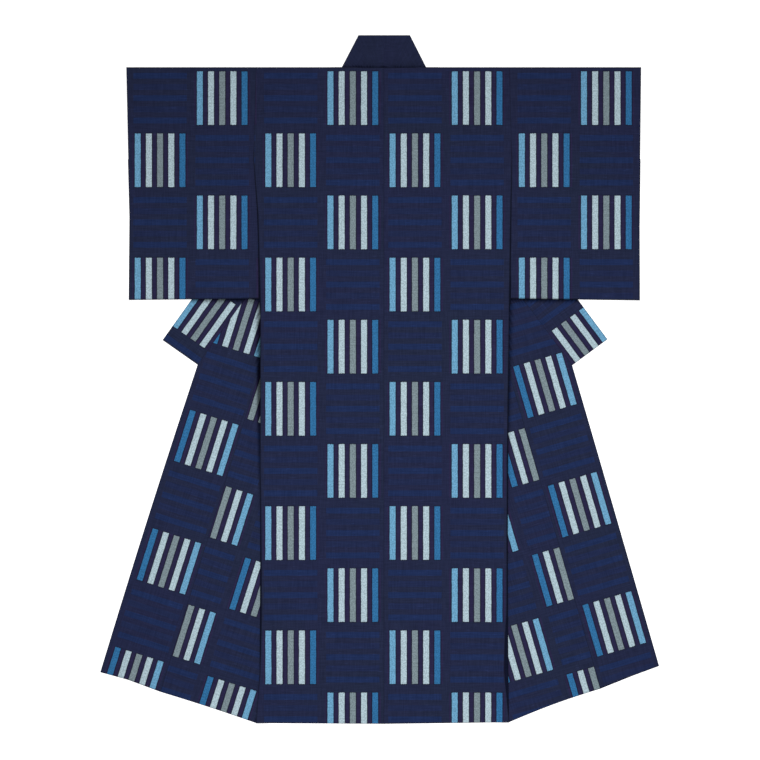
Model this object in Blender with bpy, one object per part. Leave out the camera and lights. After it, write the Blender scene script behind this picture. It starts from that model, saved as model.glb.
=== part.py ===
"""Kimono laid flat with its back up, built as its cloth is cut.

Metres, +Z up. The garment lies on the plane z = 0, its hem towards -Y and its collar towards +Y,
and the origin is the middle of its footprint. Left and right are the wearer's, which are also the
viewer's, because the back is up.

Each half of the body is one length of cloth: the back, a turn over the shoulder, then the front,
which runs down under the back as a tuck and turns outwards again along a slanting fold, so that it
shows beside the back as a fan. The overlap and the collar lie in the same layer as the fan. Each
sleeve is a flat bag, open at the cuff and along its inner edge.
"""

import math
from collections import namedtuple

import bmesh
import bpy
import numpy as np

CLOTH = 0.0012
SEAM = 0.0003
LAYER = CLOTH + SEAM
COLLAR_WIDTH = 0.1085
CUFF_OPENING = 0.230
SLEEVE_CLEAR = 0.0025

# Heights are measured up from the hem, and reaches outwards from the centre back seam.
SHOULDER = 1.639
COLLAR_TOP = 1.719
ARMHOLE_END = 1.409

# An upper layer comes down past the edge of what lies under it in a soft step:
# distance past the edge, and the share of the height that is left there.
STEP = ((0.003, 1.0), (0.011, 0.82), (0.023, 0.18), (0.031, 0.0))

# Side edge of the back below the armhole: height, reach on the left, reach on the right.
BACK_EDGE = (
    (0.128, 0.3090, 0.3000),
    (0.200, 0.3065, 0.3015),
    (0.274, 0.3050, 0.3060),
    (0.420, 0.3055, 0.3065),
    (0.640, 0.3080, 0.3070),
    (1.060, 0.3075, 0.3125),
    (1.276, 0.3140, 0.3160),
)
# Side edge of the tuck under it, in the same columns.
TUCK_EDGE = (
    (0.128, 0.3100, 0.3105),
    (0.420, 0.3085, 0.3090),
    (1.060, 0.3080, 0.3105),
    (1.276, 0.3140, 0.3160),
)

# Each place is its reach from the centre seam and its height above the hem.
LEFT = {
    "sign": -1,
    "column": 1,
    "fold_angle": 8.75,
    "hem_corner": (0.319, 0.002),
    "shoulder_side": (0.319, SHOULDER),
    "armhole_end": (0.325, ARMHOLE_END),
    "cuff_top": (0.644, SHOULDER),
    "cuff_end": (0.639, SHOULDER - CUFF_OPENING),
    "sleeve_corner": (0.637, 1.058),
    "sleeve_inner_corner": (0.310, 1.0615),
    "front_hem": (0.558, 0.080),
    "overlap_hem_middle": (0.639, 0.110),
    "overlap_hem_corner": (0.708, 0.129),
    "overlap_top": (0.1825, 1.291),
    "collar_tip_inner": (0.465, 0.8965),
    "collar_tip_outer": (0.5525, 0.958),
    "collar_bend": (0.270, 1.3535),
    "collar_shoulder": (0.1035, 1.642),
    "collar_corner": (0.0635, COLLAR_TOP),
}
RIGHT = {
    "sign": 1,
    "column": 2,
    "fold_angle": 8.1,
    "hem_corner": (0.312, 0.004),
    "shoulder_side": (0.313, SHOULDER),
    "armhole_end": (0.319, ARMHOLE_END),
    "cuff_top": (0.643, SHOULDER),
    "cuff_end": (0.6405, SHOULDER - CUFF_OPENING),
    "sleeve_corner": (0.639, 1.057),
    "sleeve_inner_corner": (0.315, 1.0615),
    "front_hem": (0.541, 0.088),
    "overlap_hem_middle": (0.618, 0.119),
    "overlap_hem_corner": (0.687, 0.1445),
    "overlap_top": (0.202, 1.255),
    "collar_tip_inner": (0.470, 0.895),
    "collar_tip_outer": (0.558, 0.960),
    "collar_bend": (0.290, 1.320),
    "collar_shoulder": (0.105, 1.640),
    "collar_corner": (0.065, COLLAR_TOP),
}

# The left fan reaches further out, so the centre seam lies a little to the right of the middle.
CENTRE_X = (LEFT["overlap_hem_corner"][0] - RIGHT["overlap_hem_corner"][0]) / 2
HEM_Y = -COLLAR_TOP / 2
SAME_PLACE = 5e-5

# The outer side of a fold turns at these shares of its height.
BEND_SHARES = (0.28, 0.72)
Section = namedtuple("Section", "under bend_low bend_high over inner_high inner_low")

# Colour and roughness of deep indigo silk.
CLOTH_FINISH = ((0.017, 0.020, 0.066), 0.72)
COLLAR_FINISH = ((0.015, 0.017, 0.056), 0.70)


def place(side, where):
    """A place of one side as an X, Y point, from its name or from its reach and height."""
    reach, height = side[where] if isinstance(where, str) else where
    return np.array([CENTRE_X + side["sign"] * reach, HEM_Y + height])


def cross(a, b):
    return a[0] * b[1] - a[1] * b[0]


def unit(vector):
    return vector / np.linalg.norm(vector)


def crossing(a, b, c, d):
    """The point where the line through a and b meets the line through c and d."""
    along, other = b - a, d - c
    return a + cross(c - a, other) / cross(along, other) * along


def counter_clockwise(outline):
    """Whether the outline runs counter-clockwise, so that its inside is on the left."""
    x, y = np.array(outline).T
    return np.sum(x * np.roll(y, -1) - y * np.roll(x, -1)) > 0


def inset(outline, amounts):
    """The outline, counter-clockwise, with each edge moved inwards by its own amount.

    Edge k runs from point k to the next one.
    """
    points, shifts = list(outline), list(amounts)
    if not counter_clockwise(points):
        points = points[::-1]
        shifts = shifts[-2::-1] + shifts[-1:]
    lines = []
    for start, end, shift in zip(points, points[1:] + points[:1], shifts):
        along = unit(end - start)
        inward = np.array([-along[1], along[0]]) * shift
        lines.append((start + inward, end + inward))
    return [crossing(*before, *after) for before, after in zip(lines[-1:] + lines, lines)]


def fold_line(side):
    """The slanting fold, from the hem corner up to the shoulder line."""
    reach, height = side["hem_corner"]
    lean = math.tan(math.radians(side["fold_angle"]))
    return place(side, "hem_corner"), place(side, (reach - (SHOULDER - height) * lean, SHOULDER))


def collar_inner_edge(side):
    """The collar's sewn edge from the overlap's top towards the back of the neck."""
    high = place(side, "collar_shoulder")
    along = unit(high - place(side, "collar_bend"))
    across = np.array([-along[1], along[0]]) * side["sign"]
    return place(side, "overlap_top"), high + across * COLLAR_WIDTH


def fan_top(side):
    """Where the slanting fold meets the collar's sewn edge."""
    return crossing(*fold_line(side), *collar_inner_edge(side))


class Edge:
    """A straight edge of a lower layer, and the soft step that upper layers make past it."""

    def __init__(self, start, end, inside):
        self.start = start
        self.along = unit(end - start)
        self.outward = np.array([-self.along[1], self.along[0]])
        if np.dot(inside - start, self.outward) > 0:
            self.outward = -self.outward

    def share(self, points):
        """The share of the lower layer's height that is left at each point."""
        distances, shares = np.array(STEP).T
        return np.interp((points - self.start) @ self.outward, distances, shares)

    def cuts(self):
        """The lines along which an upper panel bends."""
        return [(self.start + self.outward * distance, self.along) for distance, _ in STEP]


def cuff_side_edge(side):
    """The edge of the lowest layer towards the cuff, as one straight line that holds the collar."""
    tip, high = place(side, "collar_tip_outer"), place(side, "collar_shoulder")
    return Edge(high, tip, inside=place(side, "front_hem"))


def split_panel(outline, cuts):
    """A flat panel cut into triangles along straight lines, as its points and its faces."""
    flat = bmesh.new()
    flat.faces.new([flat.verts.new((x, y, 0)) for x, y in outline])
    for point, along in cuts:
        bmesh.ops.bisect_plane(
            flat,
            geom=[*flat.verts, *flat.edges, *flat.faces],
            plane_co=(*point, 0),
            plane_no=(-along[1], along[0], 0),
            dist=SAME_PLACE,
        )
    flat.normal_update()
    bmesh.ops.triangulate(flat, faces=flat.faces[:])
    flat.verts.index_update()
    points = np.array([vert.co[:2] for vert in flat.verts])
    faces = [tuple(vert.index for vert in face.verts) for face in flat.faces]
    flat.free()
    return points, faces


def rim(faces):
    """The edges that belong to one face only, each with the panel on its left."""
    directed = {edge for face in faces for edge in zip(face, face[1:] + face[:1])}
    return [edge for edge in directed if edge[::-1] not in directed]


def lies_on(point, stretch):
    """Whether a point lies on the straight stretch between two points."""
    start, end = stretch
    length = np.linalg.norm(end - start)
    along = (end - start) / length
    share = np.dot(along, point - start)
    near = abs(cross(along, point - start)) < SAME_PLACE
    return near and -SAME_PLACE < share < length + SAME_PLACE


class Wall:
    """One closed wall of cloth, made of flat legs that folds join.

    A leg is a panel's points and faces with the heights of its underside. A fold joins two legs
    along a stretch of their rims, and its outer side bulges out by one thickness of cloth.
    """

    def __init__(self):
        self.vertices = []
        self.faces = []
        self.legs = []
        self.folded = set()
        self.fold_ends = {}

    def leg(self, panel, heights):
        points, faces = panel
        under = len(self.vertices)
        over = under + len(points)
        self.vertices += [(x, y, z) for (x, y), z in zip(points, heights)]
        self.vertices += [(x, y, z + CLOTH) for (x, y), z in zip(points, heights)]
        self.faces += [tuple(under + k for k in reversed(face)) for face in faces]
        self.faces += [tuple(over + k for k in face) for face in faces]
        self.legs.append((points, rim(faces), under, over))
        return len(self.legs) - 1

    def fold(self, lower, upper, stretch, outward):
        """Joins two legs whose rims share a stretch, one section of the fold at each rim point."""
        low_points, low_rim, low_under, low_over = self.legs[lower]
        up_points, _, up_under, up_over = self.legs[upper]
        bulge = np.array([*unit(np.array(outward)), 0]) * CLOTH
        on_fold = [edge for edge in low_rim if all(lies_on(low_points[k], stretch) for k in edge)]
        rim_points = [k for edge in on_fold for k in edge]
        sections = {}
        for k in sorted(set(rim_points)):
            match = int(np.argmin(np.linalg.norm(up_points - low_points[k], axis=1)))
            below = np.array(self.vertices[low_under + k])
            rise = np.array(self.vertices[up_over + match]) - below
            bend = len(self.vertices)
            self.vertices += [tuple(below + bulge + rise * share) for share in BEND_SHARES]
            outer = (low_under + k, bend, bend + 1, up_over + match)
            sections[k] = Section(*outer, up_under + match, low_over + k)
            if rim_points.count(k) == 1:
                self.fold_ends.setdefault((low_under + k, up_over + match), []).append(sections[k])
        for a, b in on_fold:
            first, second = sections[a], sections[b]
            for step in range(3):
                self.faces.append((first[step], second[step], second[step + 1], first[step + 1]))
            self.faces.append((second.inner_low, first.inner_low, first.inner_high, second.inner_high))
            self.folded |= {(lower, a, b), (upper, first.over - up_over, second.over - up_over)}
            self.folded.add((upper, second.over - up_over, first.over - up_over))

    def object(self, name, material):
        """Closes the rims and the ends of the folds, and makes the named object."""
        for ends in self.fold_ends.values():
            if len(ends) == 1:
                self.faces.append(tuple(ends[0]))
            else:
                first, second = ends
                outer = (first.under, first.bend_low, first.bend_high, first.over)
                self.faces.append((*outer, second.bend_high, second.bend_low))
        for index, (_, edges, under, over) in enumerate(self.legs):
            for a, b in edges:
                if (index, a, b) not in self.folded:
                    self.faces.append((under + a, under + b, over + b, over + a))
        mesh = bpy.data.meshes.new(name)
        mesh.from_pydata(self.vertices, [], self.faces)
        closed = bmesh.new()
        closed.from_mesh(mesh)
        bmesh.ops.recalc_face_normals(closed, faces=closed.faces)
        closed.to_mesh(mesh)
        closed.free()
        mesh.materials.append(material)
        piece = bpy.data.objects.new(name, mesh)
        bpy.context.scene.collection.objects.link(piece)
        return piece


def side_edge(side, rows):
    return [place(side, (row[side["column"]], row[0])) for row in rows]


def body_panel(side, name, material):
    """Half of the body: back, shoulder turn, tuck and fan, in one length of cloth."""
    hem_corner, fold_high = fold_line(side)
    shoulder_side = place(side, "shoulder_side")
    armhole = place(side, "armhole_end")
    centre_top, centre_hem = place(side, (0, SHOULDER)), place(side, (0, 0))
    top = fan_top(side)
    collar_edge = Edge(*collar_inner_edge(side), inside=place(side, "collar_shoulder"))
    fold_edge = Edge(hem_corner, fold_high, inside=place(side, "front_hem"))
    cuff_edge = cuff_side_edge(side)
    cuff_cuts = cuff_edge.cuts()

    back_side = side_edge(side, BACK_EDGE)
    back = [hem_corner, *back_side, armhole, shoulder_side, centre_top, centre_hem]
    back_insets = [SEAM / 2] * (len(back_side) + 2) + [CLOTH, SEAM / 2, 0]
    fold_cut = (hem_corner, fold_edge.along)
    back_cuts = [fold_cut, *cuff_cuts, *fold_edge.cuts(), *collar_edge.cuts()]
    back_panel = split_panel(inset(back, back_insets), back_cuts)

    tuck_side = side_edge(side, TUCK_EDGE)
    tuck = [hem_corner, *tuck_side, armhole, shoulder_side, fold_high, top]
    tuck_insets = [0] * len(tuck_side) + [SEAM / 2, SEAM / 2, CLOTH, 0, 0]
    tuck_panel = split_panel(inset(tuck, tuck_insets), cuff_cuts)

    fan = [hem_corner, top, place(side, "overlap_top"), place(side, "front_hem")]
    fan_panel = split_panel(inset(fan, [0, 0, SEAM / 2, 0]), [])

    def tuck_height(points):
        return LAYER * cuff_edge.share(points)

    def back_height(points):
        over_tuck = (tuck_height(points) + LAYER) * fold_edge.share(points)
        return np.maximum(over_tuck, LAYER * collar_edge.share(points))

    wall = Wall()
    low = wall.leg(fan_panel, np.zeros(len(fan_panel[0])))
    middle = wall.leg(tuck_panel, tuck_height(tuck_panel[0]))
    high = wall.leg(back_panel, back_height(back_panel[0]))
    wall.fold(low, middle, (hem_corner, top), (-side["sign"], 0))
    drop = np.array([0, CLOTH])
    shoulder_end = crossing(shoulder_side - drop, centre_top - drop, hem_corner, fold_high)
    wall.fold(middle, high, (shoulder_side - drop, shoulder_end), (0, 1))
    return wall.object(name, material)


def overlap(side, name, material):
    """The narrow panel on the front's edge, cut off slantwise where the collar is sewn on."""
    hem = ("overlap_hem_corner", "overlap_hem_middle", "front_hem")
    outline = [place(side, corner) for corner in ("overlap_top", "collar_tip_inner", *hem)]
    panel = split_panel(inset(outline, [SEAM / 2, 0, 0, 0, SEAM / 2]), [])
    wall = Wall()
    wall.leg(panel, np.zeros(len(panel[0])))
    return wall.object(name, material)


def sleeve(side, name, material):
    """A flat bag: one length folded along the shoulder, sewn along the bottom and below the cuff."""
    cuff_edge = cuff_side_edge(side)
    free_side = side_edge(side, BACK_EDGE[-1:])[0] + np.array([side["sign"] * SLEEVE_CLEAR, 0])
    corners = {
        "shoulder": place(side, "shoulder_side"),
        "armhole": place(side, "armhole_end"),
        "free side": free_side,
        "inner corner": place(side, "sleeve_inner_corner"),
        "outer corner": place(side, "sleeve_corner"),
        "cuff end": place(side, "cuff_end"),
        "cuff top": place(side, "cuff_top"),
    }
    insets = [SEAM / 2, 0, 0, CLOTH, CLOTH, CLOTH, CLOTH]
    outline = inset(list(corners.values()), insets)
    panel = split_panel(outline, cuff_edge.cuts())
    named = dict(zip(corners, outline if counter_clockwise(list(corners.values())) else outline[::-1]))

    heights = LAYER * cuff_edge.share(panel[0])
    wall = Wall()
    front = wall.leg(panel, heights)
    back = wall.leg(panel, heights + LAYER)
    wall.fold(front, back, (named["cuff top"], named["shoulder"]), (0, 1))
    wall.fold(front, back, (named["inner corner"], named["outer corner"]), (0, -1))
    wall.fold(front, back, (named["outer corner"], named["cuff end"]), (side["sign"], 0))
    return wall.object(name, material)


def collar(material):
    """One band from tip to tip through the back of the neck, pressed flat."""
    down = ("collar_corner", "collar_shoulder", "collar_bend", "collar_tip_outer", "collar_tip_inner")
    neck_back = crossing(*collar_inner_edge(LEFT), *collar_inner_edge(RIGHT))
    left = [place(LEFT, where) for where in (*down, "overlap_top")]
    right = [place(RIGHT, where) for where in (*down, "overlap_top")]
    insets = [0, 0, 0, 0, SEAM / 2, SEAM, SEAM, SEAM / 2, 0, 0, 0, 0, 0]
    panel = split_panel(inset([*left, neck_back, *reversed(right)], insets), [])
    wall = Wall()
    wall.leg(panel, np.zeros(len(panel[0])))
    return wall.object("collar", material)


def cloth_material(name, colour, roughness):
    material = bpy.data.materials.new(name)
    material.use_nodes = True
    shader = material.node_tree.nodes["Principled BSDF"]
    shader.inputs["Base Color"].default_value = (*colour, 1)
    shader.inputs["Roughness"].default_value = roughness
    shader.inputs["Metallic"].default_value = 0
    return material


def clear_scene():
    for thing in list(bpy.data.objects):
        bpy.data.objects.remove(thing)


def main():
    clear_scene()
    for side, word in ((LEFT, "left"), (RIGHT, "right")):
        body_panel(side, f"body_{word}", cloth_material(f"body cloth {word}", *CLOTH_FINISH))
        overlap(side, f"overlap_{word}", cloth_material(f"overlap cloth {word}", *CLOTH_FINISH))
        sleeve(side, f"sleeve_{word}", cloth_material(f"sleeve cloth {word}", *CLOTH_FINISH))
    collar(cloth_material("collar cloth", *COLLAR_FINISH))


if __name__ == "__main__":
    main()
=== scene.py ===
"""Dresses a kimono that lies flat with its back up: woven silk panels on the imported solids.

Metres, +Z up, hem towards -Y and collar towards +Y. Most shapes are worked out for one side, in its
reach outwards from the centre back seam and its height above the hem, then placed on the left or on
the right. Each panel is a grid of points with its place in the cloth, across and along the warp,
so the weave and the bar blocks follow the grain of every panel.
"""

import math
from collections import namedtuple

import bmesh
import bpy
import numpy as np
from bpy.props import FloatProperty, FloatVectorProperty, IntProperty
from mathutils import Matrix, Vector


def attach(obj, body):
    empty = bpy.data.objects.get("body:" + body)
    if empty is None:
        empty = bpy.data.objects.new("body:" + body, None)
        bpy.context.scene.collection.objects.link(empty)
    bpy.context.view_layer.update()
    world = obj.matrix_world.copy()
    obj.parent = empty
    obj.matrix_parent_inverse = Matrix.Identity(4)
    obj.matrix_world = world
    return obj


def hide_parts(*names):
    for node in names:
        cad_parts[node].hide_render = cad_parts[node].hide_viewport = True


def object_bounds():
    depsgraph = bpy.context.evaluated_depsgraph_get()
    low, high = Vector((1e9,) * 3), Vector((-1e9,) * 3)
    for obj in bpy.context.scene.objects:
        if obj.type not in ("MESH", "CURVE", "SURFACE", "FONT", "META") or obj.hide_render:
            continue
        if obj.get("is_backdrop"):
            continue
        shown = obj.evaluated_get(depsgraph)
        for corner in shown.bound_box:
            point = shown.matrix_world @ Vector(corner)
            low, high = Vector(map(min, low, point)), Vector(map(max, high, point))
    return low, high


bl_info = {
    "name": "Kimono laid flat",
    "version": (1, 0, 0),
    "blender": (4, 5, 0),
    "location": "View3D > Sidebar > Kimono",
    "description": "Makes the cloth, the folds and the woven blocks of a kimono laid flat",
    "category": "Add Mesh",
}

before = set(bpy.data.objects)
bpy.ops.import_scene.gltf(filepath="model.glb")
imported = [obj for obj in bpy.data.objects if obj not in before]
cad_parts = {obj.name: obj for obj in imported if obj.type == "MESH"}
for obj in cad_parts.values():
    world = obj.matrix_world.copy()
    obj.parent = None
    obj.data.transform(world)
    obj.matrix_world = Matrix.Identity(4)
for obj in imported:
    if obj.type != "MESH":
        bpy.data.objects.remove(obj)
CAD_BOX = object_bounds()

# How thick the solids' cloth is, how far sewn edges are parted, and the height of one layer.
CLOTH = 0.0012
SEAM = 0.0003
LAYER = CLOTH + SEAM
COLLAR_WIDTH = 0.1085
# Heights above the hem: the shoulder, the collar's top, and the lower ends of cuff and sleeve.
SHOULDER = 1.639
COLLAR_TOP = 1.719
CUFF_END = 1.409
SLEEVE_END = 1.0575

# Side edge of the back below the armhole: height, reach on the left, reach on the right.
BACK_EDGE = (
    (0.128, 0.3090, 0.3000),
    (0.200, 0.3065, 0.3015),
    (0.274, 0.3050, 0.3060),
    (0.420, 0.3055, 0.3065),
    (0.640, 0.3080, 0.3070),
    (1.060, 0.3075, 0.3125),
    (1.276, 0.3140, 0.3160),
)
# Side edge of the tuck under it below the sleeve, in the same columns.
TUCK_EDGE = (
    (0.128, 0.3100, 0.3105),
    (0.420, 0.3085, 0.3090),
    (1.020, 0.3080, 0.3110),
)
# How far the tuck reaches under a sleeve's inner edge, past which the sleeve's front begins.
UNDERLAP = 0.0012

# Each side's values, left and right. A place is its reach from the centre seam and its height above
# the hem, and the sleeve's inner edge is a row of places from its bottom up. The slanting fold's
# angle is in degrees, and the painted shade's depth is a share.
SIDE_VALUES = {
    "name": ("left", "right"),
    "sign": (-1, 1),
    "column": (1, 2),
    "fold_angle": (8.75, 8.1),
    "hem_corner": ((0.319, 0.002), (0.312, 0.004)),
    "shoulder_side": ((0.319, SHOULDER), (0.313, SHOULDER)),
    "armhole_end": ((0.325, CUFF_END), (0.319, CUFF_END)),
    "cuff_top": ((0.644, SHOULDER), (0.643, SHOULDER)),
    "cuff_end": ((0.639, CUFF_END), (0.6405, CUFF_END)),
    "cuff_middle": ((0.6352, 1.265), (0.6384, 1.240)),
    "sleeve_corner": ((0.637, 1.058), (0.639, 1.057)),
    "sleeve_inner": (
        ((0.3105, 1.0615), (0.3130, 1.180), (0.3160, 1.285), (0.3250, CUFF_END)),
        ((0.3155, 1.0615), (0.3165, 1.180), (0.3175, 1.285), (0.3190, CUFF_END)),
    ),
    "front_hem": ((0.558, 0.080), (0.541, 0.088)),
    "overlap_hem_middle": ((0.639, 0.110), (0.618, 0.119)),
    "overlap_hem_corner": ((0.708, 0.129), (0.687, 0.1445)),
    "overlap_top": ((0.1825, 1.291), (0.202, 1.255)),
    "collar_tip_inner": ((0.465, 0.8965), (0.470, 0.895)),
    "collar_tip_outer": ((0.5525, 0.958), (0.558, 0.960)),
    "collar_bend": ((0.270, 1.3535), (0.290, 1.320)),
    "collar_shoulder": ((0.1035, 1.642), (0.105, 1.640)),
    "collar_corner": ((0.0635, COLLAR_TOP), (0.065, COLLAR_TOP)),
    "collar_block_start": (-0.033, 0.045),
    "hem_bow": (0.0015, 0.0040),
    "free_edge_bow": (0.0030, 0.0005),
    "shade_width": (0.0055, 0.0020),
    "shade_depth": (1.0, 0.75),
    "phase": (0.4, 2.3),
}
SIDES = [{key: values[k] for key, values in SIDE_VALUES.items()} for k in (0, 1)]

CENTRE_X = CAD_BOX[0].x + SIDES[0]["overlap_hem_corner"][0]
HEM_Y = CAD_BOX[0].y

# Soft ridges pressed into the cloth: reach and height of one end, reach and height of the
# other end, half width and rise.
BACK_RIDGES = {
    "left": (
        (0.075, 1.520, 0.128, 1.165, 0.015, 0.00075),
        (0.292, 1.395, 0.205, 1.290, 0.010, 0.00065),
        (0.255, 1.210, 0.290, 0.930, 0.011, 0.00060),
        (0.172, 1.020, 0.196, 0.600, 0.020, 0.00070),
        (0.050, 0.860, 0.040, 0.430, 0.014, 0.00055),
        (0.262, 0.560, 0.246, 0.170, 0.013, 0.00075),
        (0.118, 0.380, 0.150, 0.045, 0.017, 0.00065),
        (0.020, 1.250, 0.150, 1.185, 0.008, 0.00035),
    ),
    "right": (
        (0.060, 1.440, 0.092, 1.110, 0.013, 0.00070),
        (0.285, 1.420, 0.190, 1.335, 0.012, 0.00060),
        (0.235, 1.120, 0.268, 0.760, 0.014, 0.00070),
        (0.132, 0.930, 0.120, 0.520, 0.018, 0.00065),
        (0.045, 0.560, 0.060, 0.120, 0.016, 0.00070),
        (0.278, 0.420, 0.252, 0.060, 0.012, 0.00070),
        (0.190, 0.330, 0.172, 0.070, 0.010, 0.00045),
        (0.090, 0.720, 0.250, 0.690, 0.008, 0.00030),
    ),
}
FAN_RIDGES = {
    "left": (
        (0.345, 0.620, 0.392, 0.180, 0.013, 0.00070),
        (0.330, 0.930, 0.352, 0.720, 0.010, 0.00060),
        (0.420, 0.470, 0.478, 0.110, 0.011, 0.00080),
        (0.560, 0.520, 0.655, 0.150, 0.014, 0.00075),
        (0.500, 0.640, 0.520, 0.420, 0.009, 0.00050),
    ),
    "right": (
        (0.350, 0.700, 0.410, 0.260, 0.012, 0.00070),
        (0.332, 0.420, 0.352, 0.120, 0.010, 0.00065),
        (0.440, 0.560, 0.500, 0.170, 0.013, 0.00075),
        (0.545, 0.600, 0.628, 0.210, 0.013, 0.00070),
        (0.395, 0.880, 0.450, 0.740, 0.008, 0.00045),
    ),
}
SLEEVE_RIDGES = {
    "left": (
        (0.372, 1.560, 0.410, 1.190, 0.013, 0.00070),
        (0.500, 1.600, 0.468, 1.330, 0.015, 0.00060),
        (0.590, 1.380, 0.560, 1.110, 0.012, 0.00070),
        (0.345, 1.230, 0.440, 1.100, 0.011, 0.00055),
    ),
    "right": (
        (0.395, 1.590, 0.375, 1.280, 0.014, 0.00065),
        (0.465, 1.450, 0.505, 1.120, 0.012, 0.00070),
        (0.605, 1.560, 0.570, 1.290, 0.013, 0.00060),
        (0.535, 1.200, 0.622, 1.130, 0.009, 0.00050),
    ),
}
# Slow waves of cloth that never lies quite flat: turns a metre across and up, start, and rise.
WAVES = (
    (4.3, 1.3, 0.3, 0.00022),
    (-2.1, 3.4, 1.1, 0.00020),
    (7.9, -1.6, 2.0, 0.00012),
    (1.2, 6.7, 4.0, 0.00012),
)

# An S grows from 0 at the first of two values to 1 at the second. Past a lower layer's edge the
# upper one comes down, and in from an edge the waves and the ridges grow.
STEP_DOWN = (0.003, 0.040)
WAVES_IN = (0, 0.05)
RIDGES_IN = (0, 0.012)
# Heights between which the armhole's seam begins, the side seams' edges lift above the hem and
# settle again under the sleeve, and the painted shade beside them deepens.
ARMHOLE_SEAM = (CUFF_END, CUFF_END + 0.06)
LIFT_ABOVE_HEM = (0.10, 0.90)
LIFT_BELOW_SLEEVE = (1.24, 1.08)
SHADE_DEEPENS = (0.42, 0.92)
# Where a lower panel comes into the open: beside the back, below a sleeve, above the shoulder.
OPEN_BESIDE = (0.312, 0.367)
OPEN_BELOW = (1.054, 1.009)
OPEN_ABOVE = (SHOULDER + 0.002, SHOULDER + 0.022)
# How far in the side seams' edges lift, and the tuck's share of that lift.
LIFT_WIDTH = 0.022
TUCK_LIFT = 0.6
# Painted shade on a lower panel: its share left at the hem, its fading beside the back, its depth
# and fading below a sleeve and in two bands at the neck, and the even painted shade on the tuck.
SHADE_AT_HEM = 0.30
SHADE_FADE = 0.009
SLEEVE_SHADE = (0.85, 0.008)
NECK_SHADES = ((0.36, 0.004), (0.20, 0.022))
TUCK_SHADE = 0.70
# Close to an edge the rows of a grid lie at these distances from it.
NEAR_EDGE = np.array([0, 0.0008, 0.0020, 0.0042, 0.0080, 0.0135])
# A sewn edge counts as this much further in, so that it is pressed less sharply than a free one,
# with a fainter line of painted shade.
SEWN = 0.0012
# The overlaps' rows lie this much closer, as they spread from the free edge to the seam.
OVERLAP_STEP = 0.8
# How far from the neck's middle to its foot the collar's inner edge answers to the outer corner.
NECK_SHARE = 0.45
# Angles of the points on a half-round turn, and how close points have to be to merge.
TURN_ANGLES = np.linspace(0, math.pi, 7)
MERGE = 2e-6

# Tones that yarn, slubs, flecks and painted shade give a colour, from the low to the high end of
# their own values, and the roughness from thin yarn to thick.
YARN_TONES = (0.83, 1.17)
SLUB_TONES = (1.0, 1.30)
FLECK_TONES = (0.76, 1.12)
BAR_YARN_TONES = (0.90, 1.08)
PAINTED_SHADE_TONES = (1.0, 0.12)
ROUGHNESS = (0.86, 0.74)
# The stretches of a noise that become 0 to 1, for yarn and flecks, for slubs and for mottles.
YARN_RANGE = (0.36, 0.64)
SLUB_RANGE = (0.70, 0.80)
MOTTLE_RANGE = (0.3, 0.7)
# How high threads, uneven yarn and pucker rise, as shares of the bump's distance.
THREAD_RISE = 0.35
YARN_RISE = 0.9
PUCKER_RISE = 0.18
# Length of a stitch, and the distances from an edge between which its pucker fades.
STITCH = 0.0065
PUCKER_FADES = (0.001, 0.009)
# Width of a thread that frays at a bar's end, and a factor that gives each thread its own draw.
FRAY_THREAD = 0.0013
FRAY_SEED = 971.0
# Past a bar's side, in beats, and its end, in cells: where the bar and the dark line beside it
# fade. A bar's sides sway by a share of a cell.
BAR_FADES = (-0.022, 0.022)
END_FADES = (-0.004, 0.004)
HALO_FADES = (0.03, 0.13)
HALO_END_FADES = (0.004, 0.020)
SWAY = 0.009

# Half the floor's side, the lights' angles in degrees, and the places of lamp and camera.
FLOOR_HALF = 9.0
KEY_SOFTNESS = 24
KEY_TILT = (-40, -10, 0)
LAMP_CONE = 30
LAMP_RADIUS = 0.4
LAMP_PLACE = (0.15, -0.35, 6.0)
SKY_COLOUR = (0.97, 0.98, 1.0, 1)
CAMERA_PLACE = (0.00075, -0.0012)

# A grid of points with their place in the cloth, distance from an edge, share of dyed bars, and
# the depth of the shade painted where a layer above would keep light off.
Patch = namedtuple("Patch", "points cloth edge dyed hollow")


def eased(value):
    """The S from 0 to 1: three times the square of the value less twice its cube."""
    value = np.clip(value, 0, 1)
    return value * value * (3 - 2 * value)


def grown(value, start, end):
    """The S from 0 at the start to 1 at the end, which may be the lower of the two."""
    return eased((value - start) / (end - start))


def fading(distance, depth, fade):
    """A depth that falls to nothing in an S over the fading distance."""
    return depth * (1 - eased(distance / fade))


def normal(start, end):
    """The unit vector square to the way from start to end, on its left."""
    reach, height = (end - start) / np.linalg.norm(end - start)
    return np.array([-height, reach])


def joined(*parts):
    """One array of places from arrays of their coordinates."""
    return np.stack(np.broadcast_arrays(*parts), axis=-1)


def cross(a, b):
    return a[..., 0] * b[..., 1] - a[..., 1] * b[..., 0]


def between(start, end, share):
    """The points at each share of the way from start to end."""
    share = np.asarray(share)[..., None]
    return np.asarray(start) * (1 - share) + np.asarray(end) * share


def spots(side, *names):
    """Places of one side as arrays of reach and height."""
    return [np.array(side[name]) for name in names]


def crossing(a, b, c, d):
    """The point where the line through a and b meets the line through c and d."""
    return a + cross(c - a, d - c) / cross(b - a, d - c) * (b - a)


def chain(points, heights):
    """Reach at each height along straight stretches between points."""
    reach, height = np.array(points).T
    return np.interp(heights, height, reach)


def side_edge(side, rows):
    """One side's places of an edge, from rows of height and reach on the left and on the right."""
    return [(values[side["column"]], values[0]) for values in rows]


def shares(length, step, fine_start=True, fine_end=True):
    """Shares of a length for grid lines: close together near a fine end, a step apart between."""
    start = NEAR_EDGE if fine_start else NEAR_EDGE[:1]
    end = NEAR_EDGE if fine_end else NEAR_EDGE[:1]
    middle_length = length - start[-1] - end[-1]
    count = max(2, round(middle_length / step))
    middle = start[-1] + np.arange(1, count) * middle_length / count
    return np.concatenate([start, middle, length - end[::-1]]) / length


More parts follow.
